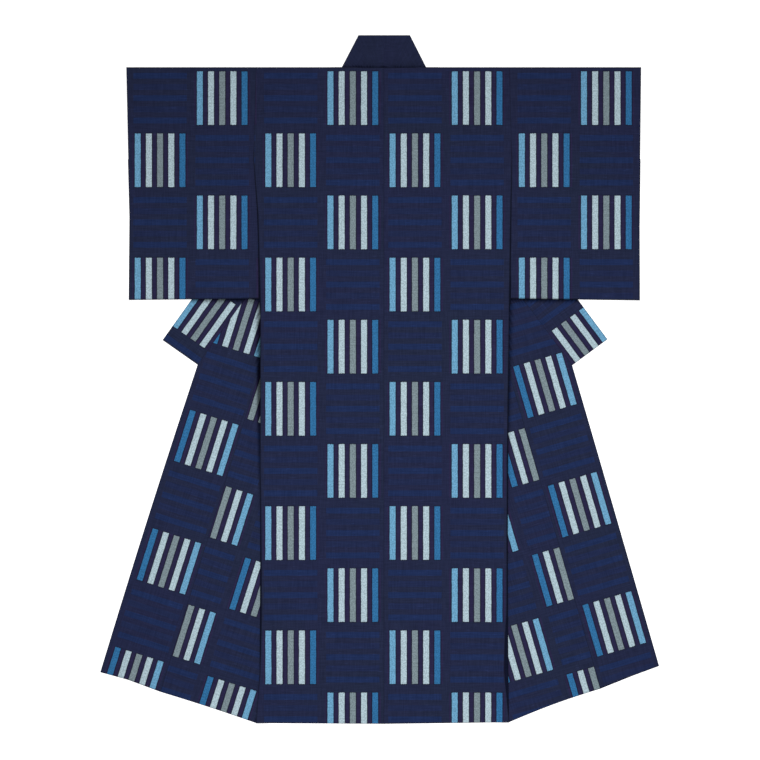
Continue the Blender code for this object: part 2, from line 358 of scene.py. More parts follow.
def fold_line(side):
    """Two points of the slanting fold: the hem corner, and where the fold would meet the shoulder."""
    reach, height = side["hem_corner"]
    lean = math.tan(math.radians(side["fold_angle"]))
    return np.array([reach, height]), np.array([reach - (SHOULDER - height) * lean, SHOULDER])


def collar_inner_edge(side):
    """The collar's sewn edge: from the overlap's top, one collar width inside the outer edge."""
    high, bend = spots(side, "collar_shoulder", "collar_bend")
    return np.array(side["overlap_top"]), high + normal(bend, high) * COLLAR_WIDTH


def past(flat, line, inside):
    """How far each place lies past a line, counted away from the place called inside."""
    start, end = line
    outward = normal(start, end)
    if (inside - start) @ outward > 0:
        outward = -outward
    return (flat - start) @ outward


def share_left(distance):
    """The share of a lower layer's height left in the cloth above, by an S past the edge."""
    return 1 - grown(distance, *STEP_DOWN)


def tuck_height(side, flat):
    """Height of the second layer: one layer over the fan, the overlap and the collar."""
    line = spots(side, "collar_shoulder", "collar_tip_outer")
    return LAYER * share_left(past(flat, line, np.array(side["front_hem"])))


def back_height(side, flat):
    """Height of the back: over the tuck inside the slanting fold, over the collar at the neck."""
    fan, outer = spots(side, "front_hem", "collar_shoulder")
    over_tuck = (tuck_height(side, flat) + LAYER) * share_left(past(flat, fold_line(side), fan))
    over_collar = LAYER * share_left(past(flat, collar_inner_edge(side), outer))
    return np.maximum(over_tuck, over_collar)


def ridges(flat, rows):
    """Soft ridges: rise times a bell across each line, fading in an S towards both its ends."""
    relief = np.zeros(flat.shape[:-1])
    for start_reach, start_height, end_reach, end_height, half_width, rise in rows:
        start = np.array([start_reach, start_height])
        along = np.array([end_reach, end_height]) - start
        length = np.linalg.norm(along)
        share = (flat - start) @ along / length**2
        across = cross(along / length, flat - start)
        relief += rise * np.exp(-((across / half_width) ** 2)) * eased(2 - abs(4 * share - 2))
    return relief


def waves(flat, phase):
    """Slow waves: a sum of sines of the turns across and up, each with its own start."""
    relief = np.zeros(flat.shape[:-1])
    for across, up, start, rise in WAVES:
        turns = flat @ np.array([across, up])
        relief += rise * (1 + np.sin(2 * math.pi * turns + start + phase))
    return relief / 2


def relief(side, flat, edge, rows, sizes):
    """How far cloth stands above its lowest lie.

    Loft, which grows from an edge as one less a falling exponential, and waves and ridges, which
    grow from the edge in an S.
    """
    loft = sizes.loft * (1 - np.exp(-edge / sizes.loft_length))
    slow = sizes.ripple * waves(flat, side["phase"]) * grown(edge, *WAVES_IN)
    pressed = sizes.ripple * ridges(flat, rows.get(side["name"], ())) * grown(edge, *RIDGES_IN)
    return loft + slow + pressed


def side_roll(flat, edge_reach, sizes):
    """The side seam's thick edge, which lifts below the sleeve and settles towards the hem.

    A falling exponential of the distance in from the edge, times an S of the height at each end.
    """
    inward = np.clip(edge_reach[:, None] - flat[..., 0], 0, None)
    height = flat[..., 1]
    held = grown(height, *LIFT_ABOVE_HEM) * grown(height, *LIFT_BELOW_SLEEVE)
    return sizes.side_roll * np.exp(-inward / LIFT_WIDTH) * held


def uncovered(flat):
    """0 where the back or a sleeve lies on a lower panel, growing to 1 in the open in an S."""
    return grown(flat[..., 0], *OPEN_BESIDE) * grown(flat[..., 1], *OPEN_BELOW)


def overhung(side, flat):
    """How deep the shade is that is painted on a lower panel under the edges above it.

    One less an S of the distance past the back's edge, weaker and narrower towards the hem where
    that edge lies down, or of the distance below the sleeve, or in two bands above the shoulder.
    """
    reach, height = flat[..., 0], flat[..., 1]
    lifted = SHADE_AT_HEM + (1 - SHADE_AT_HEM) * grown(height, *SHADE_DEEPENS)
    full = chain(side_edge(side, BACK_EDGE), height) + side["shade_width"] * (2 * lifted - 1)
    beside = fading(reach - full, side["shade_depth"] * lifted, SHADE_FADE)
    below = fading(SLEEVE_END - height, *SLEEVE_SHADE)
    above = height - SHOULDER
    neck = sum(fading(above, *band) for band in NECK_SHADES)
    return np.where(above > 0, neck, np.maximum(beside, below))


def back_cloth(side, flat):
    """Place in the cloth of the back: across from the centre seam, and along from the shoulder."""
    return joined(side["sign"] * flat[..., 0], flat[..., 1] - SHOULDER)


def tuck_cloth(side, flat):
    """Place in the cloth of a front before it turns: along from the shoulder, past the back."""
    return back_cloth(side, flat) * (1, -1)


def unfolded(side, flat):
    """Each place of a fan as its mirror image in the slanting fold, where the cloth came from."""
    low, high = fold_line(side)
    across = normal(low, high)
    return flat - 2 * ((flat - low) @ across)[..., None] * across


def nearest(*distances):
    return np.minimum.reduce(np.broadcast_arrays(*distances))


def column(patch, index, stop=None):
    return Patch(*(part[:stop, index] for part in patch))


def row(patch, index, start=0):
    return Patch(*(part[index, start:] for part in patch))


def turned(low, high, outward):
    """A half-round turn of cloth from one edge up to another above it, patterned like the upper one.

    The way up is shared out by half of one less the cosine of the turn's angle. Half the height
    times the angle's sine is added outwards.
    """
    outward = np.broadcast_to(outward, (len(low.points), 2))
    sideways = np.concatenate([outward, np.zeros((len(outward), 1))], axis=1)[:, None]
    share = ((1 - np.cos(TURN_ANGLES)) / 2)[None, :, None]
    bulge = np.sin(TURN_ANGLES)[None, :, None]
    radius = (high.points - low.points)[:, None, 2:] / 2
    points = low.points[:, None] * (1 - share) + high.points[:, None] * share
    points = points + radius * bulge * sideways
    shape = points.shape[:2]
    cloth = np.broadcast_to(high.cloth[:, None], (*shape, 2))
    level = [np.broadcast_to(part[:, None], shape) for part in (high.dyed, high.hollow)]
    return Patch(points, cloth, np.zeros(shape), *level)


def patch(side, flat, height, cloth, edge, dyed=1.0, hollow=0.0):
    """A grid of points from their reach, height above the hem and height above the ground."""
    x, y = CENTRE_X + side["sign"] * flat[..., 0], HEM_Y + flat[..., 1]
    flags = [np.broadcast_to(part, flat.shape[:2]) for part in (dyed, hollow)]
    return Patch(joined(x, y, height + CLOTH / 2), cloth, edge, *flags)


def turn_depth(sizes):
    """How far a turn's outer face stands out from where its two edges lie."""
    return LAYER / 2 + sizes.shell / 2


def body_patches(side, sizes):
    """Half of the body: back, turn over the shoulder, tuck, slanting fold and fan."""
    step = sizes.grid
    top = SHOULDER - turn_depth(sizes)
    slant = fold_line(side)
    split = float(chain(slant, top))
    corner = np.array(side["hem_corner"])
    fan_top = crossing(*slant, *collar_inner_edge(side))[1]
    fan_length = fan_top - corner[1]
    under_sleeve = [(reach + UNDERLAP, height) for reach, height in side["sleeve_inner"]]
    shoulder_side = side["shoulder_side"]
    back_side = [corner, *side_edge(side, BACK_EDGE), side["armhole_end"], shoulder_side]
    tuck_side = [corner, *side_edge(side, TUCK_EDGE), *under_sleeve, shoulder_side]
    neck = shares(split, step, True, False)
    rest = shares(shoulder_side[0] - split, step, False, True)

    rows = shares(top, step)
    back_edge = chain(back_side, rows * top)
    neck_reach = np.broadcast_to(neck * split, (len(rows), len(neck)))
    rest_reach = split + rest[None, 1:] * (back_edge[:, None] - split)
    reach = np.concatenate([neck_reach, rest_reach], axis=1)
    hem = corner[1] * reach / corner[0]
    flat = joined(reach, hem + rows[:, None] * (top - hem))
    sewn_side = SEWN * grown(flat[..., 1], *ARMHOLE_SEAM)
    side_distance = back_edge[:, None] - reach + sewn_side
    edge = nearest(reach + SEWN, side_distance, flat[..., 1] - hem, top - flat[..., 1])
    lie = back_height(side, flat) + side_roll(flat, back_edge, sizes)
    lie = lie + relief(side, flat, edge, BACK_RIDGES, sizes)
    back = patch(side, flat, lie, back_cloth(side, flat), edge)

    fan_rows = shares(fan_length, step)
    fan_heights = corner[1] + fan_rows * fan_length
    upper = shares(top - fan_top, step, False, True)
    heights = np.concatenate([fan_heights, fan_top + upper[1:] * (top - fan_top)])
    tuck_edge = chain(tuck_side, heights)
    inner = chain(slant, heights)
    tuck_reach = inner[:, None] + rest * (tuck_edge - inner)[:, None]
    flat = joined(tuck_reach, heights[:, None])
    edge = nearest(tuck_edge[:, None] - tuck_reach, top - flat[..., 1])
    lie = tuck_height(side, flat) + TUCK_LIFT * side_roll(flat, tuck_edge, sizes)
    # An even painted shade on the tuck, which shows in the gaps beside the sleeves, and on the turn
    # patterned like it.
    tuck = patch(side, flat, lie, tuck_cloth(side, flat), edge, hollow=TUCK_SHADE)

    front_hem, overlap_top = spots(side, "front_hem", "overlap_top")
    width = front_hem[0] - corner[0]
    across = shares(width, step, False, True)
    fold = joined(chain(slant, fan_heights), fan_heights)
    seam = between(front_hem, overlap_top, fan_rows)
    flat = between(fold[:, None], seam[:, None], across[None, :])
    flat[..., 1] += side["hem_bow"] * np.sin(math.pi * across) * (1 - fan_rows[:, None])
    edge = nearest((1 - across) * width + SEWN, fan_rows[:, None] * fan_length)
    lie = relief(side, flat, edge, FAN_RIDGES, sizes) * uncovered(flat)
    fan_cloth = tuck_cloth(side, unfolded(side, flat))
    # The fan gets painted shade beside the back's edge and below the sleeve.
    fan = patch(side, flat, lie, fan_cloth, edge, hollow=overhung(side, flat))

    slanting = turned(column(fan, 0), column(tuck, 0, len(fan_rows)), (-side["sign"], 0))
    shoulder = turned(row(tuck, -1), row(back, -1, len(neck) - 1), (0, 1))
    return [back, shoulder, tuck, slanting, fan]


def overlap_patches(side, sizes):
    """The narrow panel on the front's edge: a sheet between four edges, bent along its hem."""
    seam_low, seam_top = spots(side, "front_hem", "overlap_top")
    free_low, free_top, middle = spots(
        side, "overlap_hem_corner", "collar_tip_inner", "overlap_hem_middle"
    )
    width = np.linalg.norm(free_low - seam_low)
    length = np.linalg.norm(free_top - free_low)
    across, up = shares(width, sizes.grid), shares(length, sizes.grid * OVERLAP_STEP)
    seam, free = between(seam_low, seam_top, up), between(free_low, free_top, up)
    flat = between(seam[:, None], free[:, None], across[None, :])
    middle_share = np.linalg.norm(middle - seam_low) / width
    sag = middle - between(seam_low, free_low, middle_share)
    bend = np.interp(across, [0, middle_share, 1], [0, 1, 0])
    flat = flat + (1 - up)[:, None, None] * bend[None, :, None] * sag
    flat[..., 0] += side["free_edge_bow"] * across * np.sin(math.pi * up)[:, None]
    from_hem, from_top = up[:, None] * length, (1 - up)[:, None] * length
    edge = nearest(across * width + SEWN, (1 - across) * width, from_hem, from_top + SEWN)
    lie = relief(side, flat, edge, FAN_RIDGES, sizes) * uncovered(flat)
    seam_reach = unfolded(side, seam_low)[0]
    cloth = tuck_cloth(side, unfolded(side, flat) - (seam_reach, 0))
    # The overlap gets painted shade under the edges above it.
    return [patch(side, flat, lie, cloth, edge, hollow=overhung(side, flat))]


def sleeve_patches(side, sizes):
    """A flat bag: two layers turned into each other at the top, the bottom and below the cuff."""
    depth = turn_depth(sizes)
    top = SHOULDER - depth
    bottom_inner = side["sleeve_inner"][0][1] + depth
    bottom_outer = side["sleeve_corner"][1] + depth
    length = top - bottom_outer
    cuff_share = (CUFF_END - bottom_outer) / length
    low = shares(CUFF_END - bottom_outer, sizes.grid, True, False)
    high = shares(top - CUFF_END, sizes.grid, False, True)
    up = np.concatenate([low * cuff_share, cuff_share + high[1:] * (1 - cuff_share)])
    inner_heights = bottom_inner + up * (top - bottom_inner)
    inner_reach = chain([*side["sleeve_inner"], side["shoulder_side"]], inner_heights)
    inner = joined(inner_reach, inner_heights)
    outer_heights = bottom_outer + up * length
    outer_chain = spots(side, "sleeve_corner", "cuff_middle", "cuff_end", "cuff_top")
    outer = joined(chain(outer_chain, outer_heights) - depth, outer_heights)
    width = outer[-1, 0] - inner[-1, 0]
    across = shares(width, sizes.grid)
    flat = between(inner[:, None], outer[:, None], across[None, :])
    under = between(inner[:, None] + (UNDERLAP + SEAM, 0), outer[:, None], across[None, :])
    sewn_side = SEWN * grown(flat[..., 1], *ARMHOLE_SEAM)
    from_bottom, from_top = up[:, None] * length, (1 - up)[:, None] * length
    edge = nearest(across * width + sewn_side, (1 - across) * width, from_bottom, from_top)
    low_lie = tuck_height(side, flat)
    lie = relief(side, flat, edge, SLEEVE_RIDGES, sizes)
    block = bpy.context.scene.kimono_dyes.block
    margin = (width - 2 * block) / 2
    back_place = back_cloth(side, flat + (2 * block - margin - inner[-1, 0], 0))
    front = patch(side, under, low_lie, back_place * (1, -1), edge)
    back = patch(side, flat, low_lie + LAYER + lie, back_place, edge)

    def rim(sheet):
        """The edge along the bottom, round the corner and up to the cuff."""
        return Patch(*(np.concatenate([part[0, :], part[1 : len(low), -1]]) for part in sheet))

    outward = np.zeros((len(across) + len(low) - 1, 2))
    outward[: len(across), 1] = -1
    outward[len(across) - 1 :, 0] = side["sign"]
    bag = turned(rim(front), rim(back), outward)
    return [front, back, bag, turned(row(front, -1), row(back, -1), (0, 1))]


def collar_half(side, sizes):
    """Half of the collar band, from the middle of the neck to its tip."""
    overlap_top, foot = collar_inner_edge(side)
    neck = np.array([0, crossing(overlap_top, foot, *np.array([(0.0, 0.0), (0.0, 1.0)]))[1]])
    outer_names = ("collar_corner", "collar_shoulder", "collar_bend", "collar_tip_outer")
    outer_chain = np.array([(0, COLLAR_TOP), *spots(side, *outer_names)])
    answering = between(neck, foot, NECK_SHARE)
    inner_chain = np.array([neck, answering, foot, overlap_top, side["collar_tip_inner"]])
    lengths = np.linalg.norm(np.diff(outer_chain, axis=0), axis=1)
    stations = np.concatenate([[0], np.cumsum(lengths)])
    pieces = [
        stations[k] + length * shares(length, sizes.grid, False, k == len(lengths) - 1)
        for k, length in enumerate(lengths)
    ]
    along = np.concatenate([pieces[0], *(piece[1:] for piece in pieces[1:])])
    outer, inner = (
        joined(*(np.interp(along, stations, places[:, k]) for k in (0, 1)))
        for places in (outer_chain, inner_chain)
    )
    across = shares(COLLAR_WIDTH, sizes.grid)
    flat = between(outer[:, None], inner[:, None], across[None, :])
    to_tip = (stations[-1] - along)[:, None]
    edge = nearest(across * COLLAR_WIDTH, (1 - across) * COLLAR_WIDTH + SEWN, to_tip)
    open_air = uncovered(flat) + grown(flat[..., 1], *OPEN_ABOVE)
    lie = relief(side, flat, edge, {}, sizes) * open_air
    width = across * COLLAR_WIDTH + sizes.collar_bar_shift
    place = joined(width, to_tip + side["collar_block_start"])
    dyed = (to_tip < sizes.collar_plain_from).astype(float)
    # The collar gets painted shade in bands at the neck and under the edges above it.
    return patch(side, flat, lie, place, edge, dyed, overhung(side, flat))


def collar_patches(sizes):
    """The band from tip to tip, both halves meeting at one height in the middle of the neck."""
    halves = [collar_half(side, sizes) for side in SIDES]
    middle = sum(half.points[0] for half in halves) / 2
    middle[:, 0] = CENTRE_X
    for half in halves:
        half.points[0] = middle
    return halves


def grid_quads(rows, columns):
    """The quads of a grid whose points are numbered row by row."""
    first = (np.arange(rows - 1)[:, None] * columns + np.arange(columns - 1)).ravel()
    return np.stack([first, first + 1, first + columns + 1, first + columns], axis=1)


def placed(data):
    """A new object in the scene, named like its data."""
    piece = bpy.data.objects.new(data.name, data)
    bpy.context.scene.collection.objects.link(piece)
    return piece


def sewn(name, patches, material, sizes):
    """One object from grids of points: their quads, with the points that meet merged, made a wall."""
    starts = np.cumsum([0] + [sheet.edge.size for sheet in patches[:-1]])
    faces = np.concatenate(
        [start + grid_quads(*sheet.edge.shape) for start, sheet in zip(starts, patches)]
    )
    points, cloth, *levels = (
        np.concatenate([part.reshape(-1, *part.shape[2:]) for part in parts])
        for parts in zip(*patches)
    )
    mesh = bpy.data.meshes.new(name)
    mesh.from_pydata(points, [], faces)
    mesh.uv_layers.new(name="cloth").uv.foreach_set("vector", cloth[faces.ravel()].ravel())
    for label, values in zip(Patch._fields[2:], levels):
        layer = mesh.attributes.new(label, "FLOAT", "POINT")
        layer.data.foreach_set("value", values.astype(np.float32))
    merged = bmesh.new()
    merged.from_mesh(mesh)
    bmesh.ops.remove_doubles(merged, verts=merged.verts, dist=MERGE)
    bmesh.ops.recalc_face_normals(merged, faces=merged.faces)
    merged.to_mesh(mesh)
    merged.free()
    mesh.shade_smooth()
    mesh.materials.append(material)
    piece = placed(mesh)
    wall = piece.modifiers.new("cloth thickness", "SOLIDIFY")
    wall.thickness = sizes.shell
    wall.offset = 0
    return piece


class Nodes:
    """Short calls that add nodes to a tree and link them."""

    def __init__(self, tree):
        self.tree = tree

    def feed(self, socket, value):
        if isinstance(value, bpy.types.NodeSocket):
            self.tree.links.new(value, socket)
        else:
            socket.default_value = value

    def feed_named(self, sockets, **values):
        """Feeds each socket by its name, with an underscore for a space."""
        for name, value in values.items():
            self.feed(sockets[name.replace("_", " ")], value)

    def add(self, kind, *inputs, **settings):
        node = self.tree.nodes.new(kind)
        for name, value in settings.items():
            setattr(node, name, value)
        for socket, value in zip(node.inputs, inputs):
            self.feed(socket, value)
        return node

    def math(self, operation, *inputs):
        return self.add("ShaderNodeMath", *inputs, operation=operation).outputs[0]

    def times(self, value, *factors):
        """The product of a value and factors."""
        for factor in factors:
            value = self.math("MULTIPLY", value, factor)
        return value

    def vector(self, x, y, z=0.0):
        return self.add("ShaderNodeCombineXYZ", x, y, z).outputs[0]

    def split(self, vector):
        return self.add("ShaderNodeSeparateXYZ", vector).outputs

    def remap(self, value, from_low, from_high, to_low=0.0, to_high=1.0, smooth=True):
        kind = "SMOOTHSTEP" if smooth else "LINEAR"
        inputs = (value, from_low, from_high, to_low, to_high)
        return self.add("ShaderNodeMapRange", *inputs, interpolation_type=kind).outputs[0]

    def fade(self, value, full, gone):
        """1 up to one value, falling in an S to 0 at another."""
        return self.remap(value, full, gone, 1.0, 0.0)

    def noise(self, vector, scale, detail=2.0):
        node = self.add("ShaderNodeTexNoise")
        self.feed_named(node.inputs, Vector=vector, Scale=scale, Detail=detail)
        return node.outputs[0]

    def mix(self, factor, first, second, blend="MIX"):
        node = self.add("ShaderNodeMix", data_type="RGBA", blend_type=blend)
        for index, value in ((0, factor), (6, first), (7, second)):
            self.feed(node.inputs[index], value)
        return node.outputs[2]

    def bar_colours(self, across, colours):
        """One colour for each bar, the last one repeated to the cell's edge."""
        node = self.add("ShaderNodeValToRGB", across)
        node.color_ramp.interpolation = "CONSTANT"
        elements = node.color_ramp.elements
        while len(elements) < len(colours):
            elements.new(1)
        for k, colour in enumerate(colours):
            elements[k].position = k / len(colours)
            elements[k].color = colour
        return node.outputs[0]


def node_group(name, outputs, **numbers):
    """A new shader group that takes a place in the cloth and numbers, with a row of outputs.

    Returned as calls that add to it, its input sockets and the sockets of its output.
    """
    group = bpy.data.node_groups.new(name, "ShaderNodeTree")
    group.interface.new_socket("Cloth", in_out="INPUT", socket_type="NodeSocketVector")
    for label, default in numbers.items():
        label = label.replace("_", " ")
        socket = group.interface.new_socket(label, in_out="INPUT", socket_type="NodeSocketFloat")
        socket.default_value = default
    for label in outputs.split():
        group.interface.new_socket(label, in_out="OUTPUT", socket_type="NodeSocketFloat")
    start = group.nodes.new("NodeGroupInput")
    end = group.nodes.new("NodeGroupOutput")
    return Nodes(group), start.outputs, end.inputs


def weave_group():
    """Hand-spun plain weave: height of threads, uneven yarn both ways, flecks of dye, and slubs."""
    outputs = "Height Yarn Fleck Slub"
    tree, given, out = node_group("hand-spun weave", outputs, Thread=0.0011)
    place = tree.split(given["Cloth"])
    turn = tree.math("DIVIDE", 2 * math.pi, given["Thread"])
    over, along = (tree.math("SINE", tree.times(place[k], turn)) for k in (0, 1))

    def spun(scale, across=1.0, along=1.0, start=0.0, detail=2.0):
        """Noise of a scale, drawn finer by a factor across and along the cloth."""
        drawn = tree.vector(tree.times(place[0], across), tree.times(place[1], along), start)
        return tree.noise(drawn, scale, detail)

    warp = spun(22.0, across=14.0)
    weft = spun(22.0, along=14.0, start=5.0)
    fleck = spun(250.0, across=1.5, start=9.0, detail=1.0)
    slub = spun(60.0, along=5.0, start=3.0, detail=0.0)
    tree.feed_named(
        out,
        Height=tree.math("MULTIPLY_ADD", tree.times(over, along), 0.5, 0.5),
        Yarn=tree.times(tree.math("ADD", warp, weft), 0.5),
        Fleck=tree.remap(fleck, *YARN_RANGE),
        Slub=tree.remap(slub, *SLUB_RANGE),
    )
    return tree.tree


def block_group():
    """Bar blocks: square cells, turned by turn filled with upright and with level bars.

    A cell's own bars are counted across it. A bar shows where the beat across is near its middle
    and the place along is off the cell's ends, which each thread moves by its own random fray. The
    field is the whole cell inside its margins, and the halo is a dark line just outside each bar.
    """
    outputs = "Upright Level Across Field Halo"
    sizes = {"Block": 0.155, "Bars": 5.0, "Bar_Share": 0.5}
    margins = {"Side_Margin": 0.05, "End_Margin": 0.07, "Fray": 0.007}
    tree, given, out = node_group("bar blocks", outputs, **sizes, **margins)
    place = tree.split(given["Cloth"])
    cells = [tree.math("DIVIDE", place[k], given["Block"]) for k in (0, 1)]
    inside = [tree.math("FRACT", cell) for cell in cells]
    count = tree.math("ADD", *(tree.math("FLOOR", cell) for cell in cells))
    level = tree.math("FLOORED_MODULO", count, 2.0)
    upright = tree.math("SUBTRACT", 1.0, level)

    def frayed(value, across):
        """A place along a bar, moved by the draw of the thread at a place across it."""
        random = tree.add("ShaderNodeTexWhiteNoise", noise_dimensions="1D")
        thread = tree.math("SNAP", across, FRAY_THREAD)
        tree.feed_named(random.inputs, W=tree.times(thread, FRAY_SEED))
        off = tree.math("SUBTRACT", random.outputs["Value"], 0.5)
        return tree.math("ADD", value, tree.times(off, given["Fray"]))

    def either(when_upright, when_level):
        first, second = tree.times(when_upright, upright), tree.times(when_level, level)
        return tree.math("ADD", first, second)

    along = either(frayed(inside[1], place[0]), frayed(inside[0], place[1]))
    wander = tree.math("SUBTRACT", tree.noise(given["Cloth"], 55.0, 1.0), 0.5)
    across = tree.math("ADD", either(*inside), tree.times(wander, SWAY))
    span = tree.math("MULTIPLY_ADD", given["Side Margin"], -2.0, 1.0)
    inner = tree.math("DIVIDE", tree.math("SUBTRACT", across, given["Side Margin"]), span)
    beat = tree.math("FRACT", tree.times(inner, given["Bars"]))
    off_middle = tree.math("ABSOLUTE", tree.math("SUBTRACT", beat, 0.5))
    past_bar = tree.math("SUBTRACT", off_middle, tree.times(given["Bar Share"], 0.5))
    off_centre = tree.math("ABSOLUTE", tree.math("SUBTRACT", along, 0.5))
    past_end = tree.math("SUBTRACT", off_centre, tree.math("SUBTRACT", 0.5, given["End Margin"]))
    ends = tree.fade(past_end, *END_FADES)
    sides = tree.math("COMPARE", inner, 0.5, 0.5)
    mask = tree.times(tree.fade(past_bar, *BAR_FADES), ends, sides)
    halo = tree.times(tree.fade(past_bar, *HALO_FADES), tree.fade(past_end, *HALO_END_FADES))
    tree.feed_named(
        out,
        Upright=tree.times(mask, upright),
        Level=tree.times(mask, level),
        Across=inner,
        Field=tree.times(ends, sides, upright),
        Halo=tree.times(halo, upright, sides),
    )
    return tree.tree


def edge_group():
    """Pressed edges: a line of painted shade within a width of an edge, and a pucker along a stitched
    one.
    """
    tree, given, out = node_group("pressed edge", "Shade Pucker", Edge=0.0, Width=0.003)
    place, turn = tree.split(given["Cloth"]), 2 * math.pi / STITCH
    stitches = (tree.math("SINE", tree.times(place[k], turn)) for k in (0, 1))
    near = tree.fade(given["Edge"], *PUCKER_FADES)
    tree.feed_named(
        out,
        Shade=tree.fade(given["Edge"], 0.0, given["Width"]),
        Pucker=tree.times(tree.math("ADD", *stitches), near),
    )
    return tree.tree


def new_material(name):
    """A material, calls that add nodes to it, and its shader's inputs."""
    material = bpy.data.materials.new(name)
    material.use_nodes = True
    shader = material.node_tree.nodes["Principled BSDF"]
    return material, Nodes(material.node_tree), shader.inputs


def woven_silk(name, offset):
    """Deep indigo silk with woven bar blocks, dry to the touch, with a low sheen."""
    dyes = bpy.context.scene.kimono_dyes
    material, tree, shader = new_material(name)
    cloth = tree.add("ShaderNodeUVMap", uv_map="cloth").outputs[0]
    edge, dyed, hollow = (
        tree.add("ShaderNodeAttribute", attribute_name=label).outputs["Fac"]
        for label in ("edge", "dyed", "hollow")
    )

    def group(label, make, **values):
        node = tree.add("ShaderNodeGroup", node_tree=bpy.data.node_groups.get(label) or make())
        tree.feed_named(node.inputs, **values)
        return node.outputs

    moved = tree.add("ShaderNodeMapping", cloth, (offset, offset * 1.7, 0)).outputs[0]
    weave = group("hand-spun weave", weave_group, Cloth=moved, Thread=dyes.thread)
    sizes = {"Block": dyes.block, "Bars": float(dyes.bars), "Bar_Share": dyes.bar_share}
    blocks = group("bar blocks", block_group, Cloth=cloth, **sizes)
    pressed = group("pressed edge", edge_group, Edge=edge, Cloth=cloth)

    def toned(colour, value, low, high):
        """The colour times a tone that a value from 0 to 1 moves from low to high."""
        tone = tree.remap(value, 0.0, 1.0, low, high, smooth=False)
        return tree.mix(1.0, colour, tree.vector(tone, tone, tone), "MULTIPLY")

    def in_blocks(mask):
        return tree.times(blocks[mask], dyed)

    yarn = tree.remap(weave["Yarn"], *YARN_RANGE, smooth=False)
    cast = tree.remap(tree.noise(moved, 3.0, 3.0), *MOTTLE_RANGE)
    ground = tree.mix(cast, dyes.ground, dyes.ground_cast)
    ground = tree.mix(in_blocks("Field"), ground, dyes.ground_warm)
    ground = toned(ground, in_blocks("Halo"), 1.0, dyes.halo_shade)
    pale_dyes = (dyes.sky, dyes.white, dyes.grey, dyes.white, dyes.azure)
    level_dyes = (dyes.deep, dyes.dim, dyes.deep, dyes.dim, dyes.deep)
    pale, dim = (tree.bar_colours(blocks["Across"], row) for row in (pale_dyes, level_dyes))
    woven = toned(tree.mix(in_blocks("Level"), ground, dim), yarn, *YARN_TONES)
    woven = toned(woven, weave["Slub"], *SLUB_TONES)
    flecked = toned(toned(pale, weave["Fleck"], *FLECK_TONES), yarn, *BAR_YARN_TONES)
    coloured = tree.mix(in_blocks("Upright"), woven, flecked)
    # Shade painted in a line along every edge, fainter along the seams.
    base = toned(coloured, pressed["Shade"], 1.0, dyes.edge_shade)

    threads = tree.times(weave["Height"], THREAD_RISE)
    height = tree.math("MULTIPLY_ADD", weave["Yarn"], YARN_RISE, threads)
    height = tree.math("MULTIPLY_ADD", pressed["Pucker"], PUCKER_RISE, height)
    bump = tree.add("ShaderNodeBump")
    tree.feed_named(bump.inputs, Strength=0.35, Distance=0.0005, Height=height)
    # The gloss also stays on its own socket, for a viewer that leaves its link out.
    shader["Specular IOR Level"].default_value = dyes.gloss
    # Shade painted under the upper layers' edges darkens the base colour and takes the gloss away.
    tree.feed_named(
        shader,
        Base_Color=toned(base, hollow, *PAINTED_SHADE_TONES),
        Roughness=tree.remap(yarn, 0.0, 1.0, *ROUGHNESS, smooth=False),
        Specular_IOR_Level=tree.remap(hollow, 0.0, 1.0, dyes.gloss, 0.0),
        Sheen_Weight=dyes.sheen,
        Sheen_Roughness=0.55,
        Sheen_Tint=(0.55, 0.62, 0.90, 1),
        Normal=bump.outputs[0],
    )
    return material


def stage_material(name, colour, glow):
    """Pale matt paper with a very faint mottle and a little glow of its own."""
    material, tree, shader = new_material(name)
    place = tree.add("ShaderNodeTexCoord").outputs["Object"]
    mottle = tree.remap(tree.noise(place, 2.5), *MOTTLE_RANGE)
    darker = [0.985 * value for value in colour[:3]]
    tree.feed_named(
        shader,
        Base_Color=tree.mix(mottle, colour, (*darker, 1)),
        Emission_Color=(1, 1, 1, 1),
        Emission_Strength=glow,
        Roughness=0.9,
        Specular_IOR_Level=0.1,
    )
    return material


def kind_of_property(kind, **settings):
    """Makes properties of one kind, each from its name, default and description."""

    def new_property(name, default, description, **more):
        return kind(name=name, default=default, description=description, **settings, **more)

    return new_property


a_length = kind_of_property(FloatProperty, unit="LENGTH", subtype="DISTANCE", precision=4)
a_share = kind_of_property(FloatProperty, subtype="FACTOR", min=0, max=1)
an_amount = kind_of_property(FloatProperty, min=0)
a_colour = kind_of_property(FloatVectorProperty, subtype="COLOR", size=4, min=0, max=1)


class KimonoSizes(bpy.types.PropertyGroup):
    """Sizes of the cloth and of how it lies."""

    shell: a_length("Cloth", 0.0009, "Thickness of the cloth's wall")
    grid: a_length("Grid", 0.0065, "Spacing of the grid lines away from edges")
    loft: a_length("Loft", 0.0006, "How far a panel rises between its pressed edges")
    loft_length: a_length("Loft Length", 0.011, "How quickly a panel rises from an edge")
    side_roll: a_length("Side Roll", 0.0030, "Lift of the side seams below the sleeves")
    ripple: an_amount("Ripple", 1.0, "Strength of the waves and ridges")
    collar_bar_shift: a_length("Collar Shift", 0.0150, "Where the collar's cut crosses a block")
    collar_plain_from: a_length("Collar Plain", 0.80, "Distance from a tip where blocks end")


